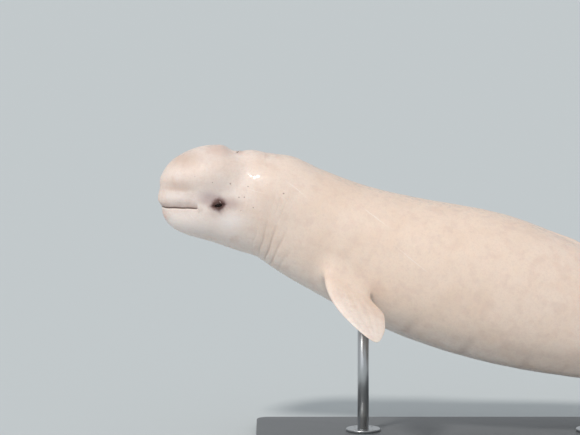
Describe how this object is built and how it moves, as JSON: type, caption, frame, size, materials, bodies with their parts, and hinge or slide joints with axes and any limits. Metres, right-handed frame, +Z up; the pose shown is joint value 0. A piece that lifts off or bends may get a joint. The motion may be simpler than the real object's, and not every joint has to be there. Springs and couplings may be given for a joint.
{
  "type": "beluga whale model",
  "caption": "Still, life-size beluga whale with a rounded melon, broad flippers and tail flukes, held on rods above a flat base.",
  "frame": {"origin": "centre of the stand base's underside, on the floor", "axes": "+X from the snout to the tail, +Y to the whale's right, +Z up"},
  "size_m": [3.8875, 1.1076, 1.4677],
  "materials": {
    "head_skin": "smooth wet skin, pale pinkish cream",
    "body_skin": "smooth wet skin, warm cream",
    "eye": "wet and glossy, dark brown",
    "stand_base": "matt grey paint on board",
    "stand_rod": "brushed"
  },
  "bodies": {
    "root": {"head": "head_skin", "lower_jaw": "head_skin", "eye_left": "eye", "eye_right": "eye", "neck": "body_skin", "chest": "body_skin", "abdomen": "body_skin", "loins": "body_skin", "tail_stock": "body_skin", "flipper_left": "body_skin", "flipper_right": "body_skin", "fluke_left": "body_skin", "fluke_right": "body_skin", "stand_base": "stand_base", "stand_foot_front": "stand_rod", "stand_foot_rear": "stand_rod", "stand_rod_front": "stand_rod", "stand_rod_rear": "stand_rod"}
  },
  "joints": []
}
